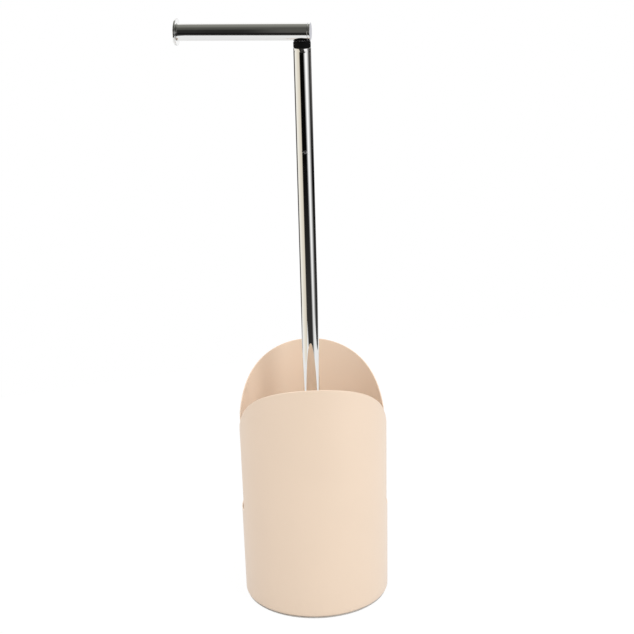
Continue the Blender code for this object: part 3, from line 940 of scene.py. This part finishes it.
class ROLL_HOLDER_OT_top_bush(bpy.types.Operator):
    """Moulds the black bush: a collar on the pole's end and a spigot in its bore"""

    bl_idname = "roll_holder.top_bush"
    bl_label = "Top bush"

    def execute(self, context):
        sizes = context.scene.holder_tubes
        seat = BUSH_HIGH.z - sizes.bush_height
        bore = STUD_HIGH.x + sizes.seat_gap
        spigot = POLE_HIGH.x - sizes.wall - sizes.seat_gap
        edge = sizes.bush_edge
        corners = [
            (bore, BUSH_HIGH.z), (BUSH_HIGH.x, BUSH_HIGH.z), (BUSH_HIGH.x, seat),
            (spigot, seat), (spigot, BUSH_LOW.z), (bore, BUSH_LOW.z),
        ]
        radii = [edge / 2, sizes.bush_crown, edge / 2, sizes.tube_edge / 2, edge, edge / 2]
        bush = [lathe(corners, radii, arcs=BEND_STEPS)]
        add_piece("moulded_bush", bush, "top_bush", "stand", moulded_nylon)
        return {"FINISHED"}


# Arm


def pierced_wall(radius, hole, runs, window):
    """Grids of a round wall along Z, with a hole through its -X side at height 0.

    Outside a window round the hole, the rows and columns are even. Inside it, rings go from
    the window's edge to the hole: each point is a mix of a point on the edge and the hole's
    point in the same direction, seen along X. Returns the grids, with the rings last.
    """
    angle = whole_turn(TUBE_SEGMENTS)
    first = TUBE_SEGMENTS // 2 - WINDOW_COLUMNS
    last = TUBE_SEGMENTS // 2 + WINDOW_COLUMNS
    inside = np.flatnonzero(np.abs(runs) < window + SAME_POINT)
    top, bottom = inside[0], inside[-1]
    even = around(radius, runs[:, None], angle)
    across = np.linspace(-1.0, 1.0, 2 * WINDOW_COLUMNS + 1)
    down = runs[top:bottom + 1] / window
    edge = np.vstack([
        np.column_stack([across, np.full_like(across, down[0])])[:-1],
        np.column_stack([np.full_like(down, 1.0), down])[:-1],
        np.column_stack([across[::-1], np.full_like(across, down[-1])])[:-1],
        np.column_stack([np.full_like(down, -1.0), down[::-1]]),
    ])
    direction = np.arctan2(edge[:, 1], edge[:, 0])
    window_angle = math.tau * WINDOW_COLUMNS / TUBE_SEGMENTS
    edge_across = radius * np.sin(edge[:, 0] * window_angle)
    share = np.linspace(0.0, 1.0, WINDOW_RINGS + 1)[:, None] ** RING_CROWDING
    ring_across = edge_across + (hole * np.cos(direction) - edge_across) * share
    ring_run = edge[:, 1] * window + (hole * np.sin(direction) - edge[:, 1] * window) * share
    rings = around(radius, ring_run, math.pi + np.arcsin(ring_across / radius))
    return [
        even[:top + 1], even[top:bottom + 1, :first + 1], even[top:bottom + 1, last:],
        even[bottom:], rings,
    ]


def arm_runs(start, end, window):
    """Heights of a pierced wall's rows from start to end, even inside and outside the window."""
    enter, leave = math.copysign(window, start), math.copysign(window, end)
    return np.concatenate([
        np.linspace(start, enter, RUN_STEPS)[:-1],
        np.linspace(enter, leave, WINDOW_ROWS + 1),
        np.linspace(leave, end, RUN_STEPS)[1:],
    ])


class ROLL_HOLDER_OT_arm(bpy.types.Operator):
    """Makes the chromed arm: its tube, the plug that closes it and the disc on its end"""

    bl_idname = "roll_holder.arm"
    bl_label = "Arm"

    def execute(self, context):
        scene = context.scene
        sizes = scene.holder_tubes
        hole = STUD_HIGH.x + sizes.seat_gap
        self.make_tube(sizes, hole)
        self.make_plug(sizes, hole, scene.holder_fixings)
        self.make_flange(sizes)
        return {"FINISHED"}

    def add_chromed(self, name, patches, node):
        """Adds a chromed piece that was made round Z, laid along the arm."""
        placed = [along_arm(patch) for patch in patches]
        add_piece(name, placed, node, "arm", arm_chrome)

    def make_tube(self, sizes, hole):
        """Tube with the stud's hole in its lower wall."""
        window = TUBE_WINDOW * hole
        edge, bore = sizes.tube_edge, ARM_RADIUS - sizes.wall
        low, high = ARM_NEAR_END + edge, ARM_FAR_END - edge
        outside = pierced_wall(ARM_RADIUS, hole, arm_runs(high, low, window), window)
        inside = pierced_wall(bore, hole, arm_runs(low, high, window), window)
        ends = rounded(ring(bore, ARM_RADIUS, ARM_NEAR_END, ARM_FAR_END), edge)
        half = len(ends) // 2
        hole_outer = outside[-1][-1]
        hole_inner = hole_outer.copy()
        hole_inner[:, 0] = -np.sqrt(bore ** 2 - hole_outer[:, 1] ** 2)
        rims = [np.stack([hole_outer, hole_inner]), turned(ends[:half]), turned(ends[half:])]
        self.add_chromed("chromed_arm", [*outside, *inside, *rims], "arm_tube")

    def make_plug(self, sizes, hole, fixings):
        """Turned plug with a polished head, and a threaded blind hole up into its body.

        Seen from above, a direction in the window turns the other way from an angle round Z,
        and starts a quarter turn past the arm.
        """
        body = ARM_RADIUS - sizes.wall - sizes.seat_gap
        head_inner = ARM_NEAR_END - sizes.seat_gap
        head_outer = head_inner - sizes.plug_head
        tip = head_inner + sizes.plug_length
        window = PLUG_WINDOW * hole
        edge = sizes.polished_edge
        foot = edge / 2
        wall = pierced_wall(body, hole, arm_runs(tip - edge, head_inner + foot, window), window)
        cap = rounded(ring(0.0, body, 0.0, tip), [0.0, edge, 0.0, 0.0])
        head = rounded(
            [
                (0.0, tip), (body, tip), (body, head_inner), (ARM_RADIUS, head_inner),
                (ARM_RADIUS, head_outer), (0.0, head_outer),
            ],
            [0.0, 0.0, foot, foot, edge, 0.0])
        cap = graded(cap[cap[:, 1] > tip - edge - SAME_POINT], closed=False)
        head = graded(head[head[:, 1] < head_inner + foot + SAME_POINT], closed=False)
        mouth = wall[-1][-1]
        direction = np.arctan2(mouth[:, 2], -mouth[:, 1])[None, :]
        angle = ARM_BEARING + math.pi / 2 - direction
        crown = STUD_HIGH.z - ARM_HEIGHT + sizes.plug_crown
        pitch = fixings.stud_pitch
        height = thread_rows(-math.sqrt(body ** 2 - hole ** 2), crown, pitch)
        ridge = thread(STUD_HIGH.x, pitch, fixings.thread_share, angle, height + ARM_HEIGHT)
        bore = around(np.minimum(ridge + fixings.thread_clearance, hole), height, direction)
        drilled = np.stack([bore[..., 2], -bore[..., 0], bore[..., 1]], axis=-1)
        drill_tip = np.broadcast_to((crown + DRILL_POINT * hole, 0.0, 0.0), mouth.shape)
        hollow = np.vstack([mouth[None], drilled, drill_tip[None]])
        self.add_chromed("polished_plug", [*wall, hollow, turned(cap), turned(head)], "arm_plug")

    def make_flange(self, sizes):
        """Disc that stops the roll, on its spigot."""
        inner = ARM_FAR_END + sizes.seat_gap
        outer = inner + sizes.flange_thickness
        spigot = ARM_RADIUS - sizes.wall - sizes.seat_gap
        tip = inner - sizes.flange_spigot
        edge = sizes.polished_edge
        corners = [
            (0.0, outer), (FLANGE_RADIUS, outer), (FLANGE_RADIUS, inner),
            (spigot, inner), (spigot, tip), (0.0, tip),
        ]
        disc = lathe(corners, [0.0, edge, edge, edge / 2, edge, 0.0], closed=False)
        self.add_chromed("polished_disc", [disc], "end_flange")


class ROLL_HOLDER_OT_swivel_fixings(bpy.types.Operator):
    """Makes the stud that the arm turns on, with its washer, spring washer and nut"""

    bl_idname = "roll_holder.swivel_fixings"
    bl_label = "Swivel fixings"

    def execute(self, context):
        scene = context.scene
        sizes = scene.holder_fixings
        hole = STUD_HIGH.x + scene.holder_tubes.seat_gap
        self.make_stud(sizes)
        self.make_washer(sizes, hole)
        self.make_spring_washer(sizes, hole)
        self.make_nut(sizes, hole)
        return {"FINISHED"}

    def add_zinc(self, name, patch, node):
        """Adds a zinc-plated piece that turns with the arm."""
        add_piece(name, [patch], node, "arm", zinc_plate)

    def make_stud(self, sizes):
        """Stud threaded from end to end."""
        angle = whole_turn()
        top, bottom, radius = STUD_HIGH.z, STUD_LOW.z, STUD_HIGH.x
        height = thread_rows(top, bottom, sizes.stud_pitch)
        ridge = thread(radius, sizes.stud_pitch, sizes.thread_share, angle, height)
        root = radius - sizes.stud_pitch * sizes.thread_share
        from_end = np.minimum(top - height, height - bottom)
        stud = np.vstack([
            around(0.0, top, angle),
            around(np.minimum(ridge, root + from_end), height, angle),
            around(0.0, bottom, angle),
        ])
        self.add_zinc("threaded_stud", stud, "swivel_stud")

    def make_washer(self, sizes, hole):
        """Plain washer with the rounded edges of its stamping."""
        corners = ring(hole, WASHER_HIGH.x, WASHER_LOW.z, WASHER_HIGH.z)
        washer = lathe(corners, sizes.fixing_edge, FIXING_SEGMENTS)
        self.add_zinc("plain_washer", washer, "swivel_washer")

    def make_spring_washer(self, sizes, hole):
        """Spring washer: its section goes once round but for the split, which leans.

        At both ends the section shrinks to its centre, which closes the ring's ends.
        """
        radius, low, high = SPRING_HIGH.x, SPRING_LOW.z, SPRING_HIGH.z
        outline = graded(rounded(ring(hole, radius, low, high), sizes.fixing_edge), closed=True)
        rows = np.vstack([outline, outline[:1]])
        half_split = sizes.spring_split / radius / 2
        angle = np.linspace(half_split, math.tau - half_split, FIXING_SEGMENTS)
        angle = np.concatenate([angle[:1], angle, angle[-1:]])[None, :]
        filled = np.zeros_like(angle)
        filled[0, [0, -1]] = 1.0
        middle_radius, middle_height = (hole + radius) / 2, (low + high) / 2
        across = rows[:, :1] + (middle_radius - rows[:, :1]) * filled
        height = rows[:, 1:] + (middle_height - rows[:, 1:]) * filled
        lean = (height - middle_height) / radius
        self.add_zinc("split_washer", around(across, height, angle + lean), "spring_washer")

    def make_nut(self, sizes, hole):
        """Hexagon nut with chamfered corners and a threaded bore."""
        angle = whole_turn()
        low, high = NUT_LOW.z, NUT_HIGH.z
        width = min(NUT_HIGH.x - NUT_LOW.x, NUT_HIGH.y - NUT_LOW.y)
        flank = hexagon(angle, width)
        face = width / 2 - sizes.fixing_edge
        drop = (flank - face) * math.tan(NUT_CHAMFER)
        nut = np.vstack([
            tapped(STUD_HIGH.x, hole, low, high, sizes.stud_pitch, sizes),
            around(face, high, angle),
            around(flank, high - drop, angle),
            around(flank, low + drop, angle),
            around(face, low, angle),
            around(hole, low, angle),
        ])
        self.add_zinc("hexagon_nut", nut, "lock_nut")


# Studio

BLACK = (0.0, 0.0, 0.0, 1.0)
WHITE = (1.0, 1.0, 1.0, 1.0)

# Where the world's light goes from level front and back to the sides, by the sideways part of a
# direction, and from level to overhead, by its upward part
SIDE_SPREAD = (0.2, 0.75)
SKY_SPREAD = (0.0, 0.45)

# What polished metal reflects is given by steps over measures of the direction it looks in. A
# step is (measure, where it is 0, where it is 1). The measures are compass, in degrees from the
# front and positive to the right, from_front, the same without its sign, tilt, in degrees up
# from the front and over to the back, slope, the upward part, toward_arm, the part along the
# arm, and leaning, the compass plus PANEL_LEAN times the slope, held at PANEL_FOOT or below.
PANEL_FOOT = -0.165
PANEL_LEAN = 126.0

# The warm panel at the left, and its colours at its far and its near side
LEFT_PANEL = (("compass", -118.0, -113.0), ("compass", -34.0, -47.0))
LEFT_PANEL_FADE = ("compass", -113.0, -45.0)
LEFT_PANEL_FAR = (0.93, 0.90, 0.82, 1.0)
LEFT_PANEL_NEAR = (0.74, 0.68, 0.57, 1.0)

# The bright panel at the right, the backdrop behind, and the grey flag that stands before it
PANELS = (
    ((1.06, 1.06, 1.06, 1.0), ("leaning", -12.0, 20.0), ("compass", 96.0, 44.0)),
    (WHITE, ("from_front", 148.0, 158.0)),
    ((0.60, 0.60, 0.64, 1.0), ("compass", 157.0, 160.0), ("compass", 170.0, 166.0)),
)

# Faint lights between the panels, with their strength: on the floor, above the floor, from the
# horizon up at the front but for the arm's side, and at the back to the right and to the left
HORIZON_LIGHT = (0.06, ("toward_arm", 0.185, 0.155), ("slope", -0.16, -0.04), ("tilt", 50.0, 30.0))
FAINT_LIGHTS = (
    (0.03, ("slope", -0.22, -0.33)),
    (0.02, ("slope", -0.15, -0.06)),
    HORIZON_LIGHT,
    (0.15, ("compass", 85.0, 135.0), ("slope", -0.24, -0.17)),
    (0.09, ("compass", -100.0, -130.0)),
)
DARKNESS = 0.002
ROOM_COLOR = (1.0, 0.96, 0.92, 1.0)

# The ceiling, which brightens in three stages towards the backdrop, then where it ends at the
# backdrop and where it gives way to the panels
CEILING_LIGHTS = (
    HORIZON_LIGHT,
    (0.06, ("tilt", 28.0, 50.0)),
    (0.14, ("tilt", 55.0, 92.0)),
    (0.06, ("tilt", 92.0, 112.0)),
)
CEILING_DARKNESS = 0.022
CEILING_COLOR = (1.0, 1.0, 0.9, 1.0)
CEILING_END = ("tilt", 117.0, 126.0)
CEILING_FRONT = ("slope", 0.10, 0.26)


def studio_bands(recipe, direction):
    """What polished metal reflects of the studio, from the direction it looks in.

    Low down it is panels by compass direction over faint lights, and overhead it is the
    ceiling. A light or a panel shows by the product of its steps.
    """
    x, y, z = recipe.axes(direction)
    compass = recipe.work_out("ARCTAN2", x, -1.0 * y) * math.degrees(1.0)
    measures = {
        "compass": compass,
        "from_front": abs(compass),
        "leaning": compass + PANEL_LEAN * recipe.work_out("MINIMUM", z, PANEL_FOOT),
        "tilt": recipe.work_out("ARCTAN2", z, -1.0 * y) * math.degrees(1.0),
        "slope": z,
        "toward_arm": ARM_DIRECTION.x * x + ARM_DIRECTION.y * y,
    }

    def shown(*steps):
        return math.prod(recipe.step(measures[name], start, end) for name, start, end in steps)

    def total(lights):
        return sum(strength * shown(*steps) for strength, *steps in lights)

    bands = recipe.blend(DARKNESS + total(FAINT_LIGHTS), BLACK, ROOM_COLOR)
    warm = recipe.blend(shown(LEFT_PANEL_FADE), LEFT_PANEL_FAR, LEFT_PANEL_NEAR)
    bands = recipe.blend(shown(*LEFT_PANEL), bands, warm)
    for color, *steps in PANELS:
        bands = recipe.blend(shown(*steps), bands, color)
    ceiling = recipe.blend(CEILING_DARKNESS + total(CEILING_LIGHTS), BLACK, CEILING_COLOR)
    ceiling = recipe.blend(shown(CEILING_END), ceiling, WHITE)
    return recipe.blend(shown(CEILING_FRONT), bands, ceiling)


class ROLL_HOLDER_OT_studio(bpy.types.Operator):
    """Sets up the pale floor, the soft studio light and the camera"""

    bl_idname = "roll_holder.studio"
    bl_label = "Studio"

    def execute(self, context):
        settings = context.scene.holder_studio
        self.place_camera(context.scene, settings)
        self.lay_floor(settings)
        self.light_world(context.scene, settings)
        self.place_key(context.scene, settings)
        context.scene.view_settings.view_transform = "Standard"
        return {"FINISHED"}

    def place_camera(self, scene, settings):
        """Camera on a circle round the pole, aimed a little past it and rolled."""
        bearing, pitch, roll = settings.camera_bearing, settings.camera_pitch, settings.camera_roll
        heading = bearing + settings.camera_aim
        level_part = math.cos(pitch)
        forward = Vector((
            math.sin(heading) * level_part, math.cos(heading) * level_part, -math.sin(pitch)))
        level = Vector((math.cos(heading), -math.sin(heading), 0.0))
        upright = level.cross(forward)
        right = math.cos(roll) * level + math.sin(roll) * upright
        up = math.cos(roll) * upright - math.sin(roll) * level
        camera = bpy.data.cameras.new("studio_camera")
        camera.lens = settings.focal_length
        camera.sensor_width = settings.sensor_width
        item = bpy.data.objects.new("studio_camera", camera)
        axes = Matrix((right, up, -forward)).transposed()
        place = Vector((
            -settings.camera_distance * math.sin(bearing),
            -settings.camera_distance * math.cos(bearing), settings.camera_height))
        item.matrix_world = Matrix.Translation(place) @ axes.to_4x4()
        scene.collection.objects.link(item)
        scene.camera = item

    def lay_floor(self, settings):
        """White table top. Where it is seen or mirrored it glows, but keeps some shadow."""
        left, right = -settings.floor_left, settings.floor_right
        front, back = -settings.floor_front, settings.floor_back
        corners = np.array([
            [(left, back, 0.0), (right, back, 0.0)], [(left, front, 0.0), (right, front, 0.0)]])
        turn = np.array(Matrix.Rotation(settings.floor_turn, 3, "Z"))
        floor = surface("studio_floor", [corners @ turn.T])
        material = bpy.data.materials.new("white_table")
        recipe = Recipe(material)
        seen, mirrored, through = recipe.rays()
        share = settings.floor_glow * (seen + through) + settings.floor_mirror * mirrored
        matt = recipe.node("ShaderNodeBsdfDiffuse", {}, {"Color": shade(settings.floor_color)})
        glow = recipe.node(
            "ShaderNodeEmission", {}, {"Color": WHITE, "Strength": settings.floor_white})
        mixed = recipe.node("ShaderNodeMixShader", {}, {0: share, 1: matt, 2: glow})
        recipe.node("ShaderNodeOutputMaterial", {}, {"Surface": mixed})
        floor.data.materials.append(material)

    def light_world(self, scene, settings):
        """White to the camera, the studio's bands to polished metal, and soft light to the rest.

        The soft light is strongest overhead, less so level from both sides, and weak level from
        the front and the back.
        """
        world = bpy.data.worlds.new("studio_world")
        scene.world = world
        recipe = Recipe(world)
        seen, mirrored, through = recipe.rays()
        direction = recipe.node("ShaderNodeTexCoord", output="Generated")
        sideways, _, upward = recipe.axes(direction)
        side_share = recipe.step(abs(sideways), *SIDE_SPREAD)
        level = settings.ambient + (settings.sidelight - settings.ambient) * side_share
        light = level + (settings.skylight - level) * recipe.step(upward, *SKY_SPREAD)
        color = recipe.blend(light * (1.0 / FULL_LIGHT), BLACK, shade(WHITE[:3], FULL_LIGHT))
        color = recipe.blend(mirrored, color, studio_bands(recipe, direction))
        color = recipe.blend(seen + through, color, WHITE)
        background = recipe.node("ShaderNodeBackground", {}, {"Color": color})
        recipe.node("ShaderNodeOutputWorld", {}, {"Surface": background})

    def place_key(self, scene, settings):
        """Large soft light at the front right, which metal doesn't show."""
        lamp = bpy.data.lights.new("key_light", "AREA")
        lamp.energy = settings.key_power
        lamp.color = settings.key_color
        lamp.size = settings.key_size
        item = bpy.data.objects.new("key_light", lamp)
        place, target = Vector(settings.key_place), Vector(settings.key_target)
        turn = (target - place).to_track_quat("-Z", "Y").to_matrix().to_4x4()
        item.matrix_world = Matrix.Translation(place) @ turn
        item.visible_glossy = False
        scene.collection.objects.link(item)


OPERATORS = (
    ROLL_HOLDER_OT_container_wall,
    ROLL_HOLDER_OT_weighted_base,
    ROLL_HOLDER_OT_base_fixings,
    ROLL_HOLDER_OT_pole,
    ROLL_HOLDER_OT_top_bush,
    ROLL_HOLDER_OT_arm,
    ROLL_HOLDER_OT_swivel_fixings,
    ROLL_HOLDER_OT_studio,
)
SETTINGS = {
    "holder_container": ContainerSizes,
    "holder_tubes": TubeSizes,
    "holder_fixings": FixingSizes,
    "holder_finishes": Finishes,
    "holder_studio": StudioSettings,
}


class ROLL_HOLDER_PT_pieces(bpy.types.Panel):
    """Lists the pieces and their sizes in the 3D view's sidebar"""

    bl_idname = "ROLL_HOLDER_PT_pieces"
    bl_label = "Paper holder"
    bl_space_type = "VIEW_3D"
    bl_region_type = "UI"
    bl_category = "Paper holder"

    def draw(self, context):
        column = self.layout.column(align=True)
        for operator in OPERATORS:
            column.operator(operator.bl_idname)
        for name, kind in SETTINGS.items():
            box = self.layout.box()
            for size in kind.__annotations__:
                box.prop(getattr(context.scene, name), size)


CLASSES = (*SETTINGS.values(), *OPERATORS, ROLL_HOLDER_PT_pieces)


def register():
    for kind in CLASSES:
        bpy.utils.register_class(kind)
    for name, group in SETTINGS.items():
        setattr(bpy.types.Scene, name, bpy.props.PointerProperty(type=group))


def unregister():
    for name in SETTINGS:
        delattr(bpy.types.Scene, name)
    for kind in reversed(CLASSES):
        bpy.utils.unregister_class(kind)


def main():
    register()
    for operator in OPERATORS:
        family, name = operator.bl_idname.split(".")
        getattr(getattr(bpy.ops, family), name)()


if __name__ == "__main__":
    main()
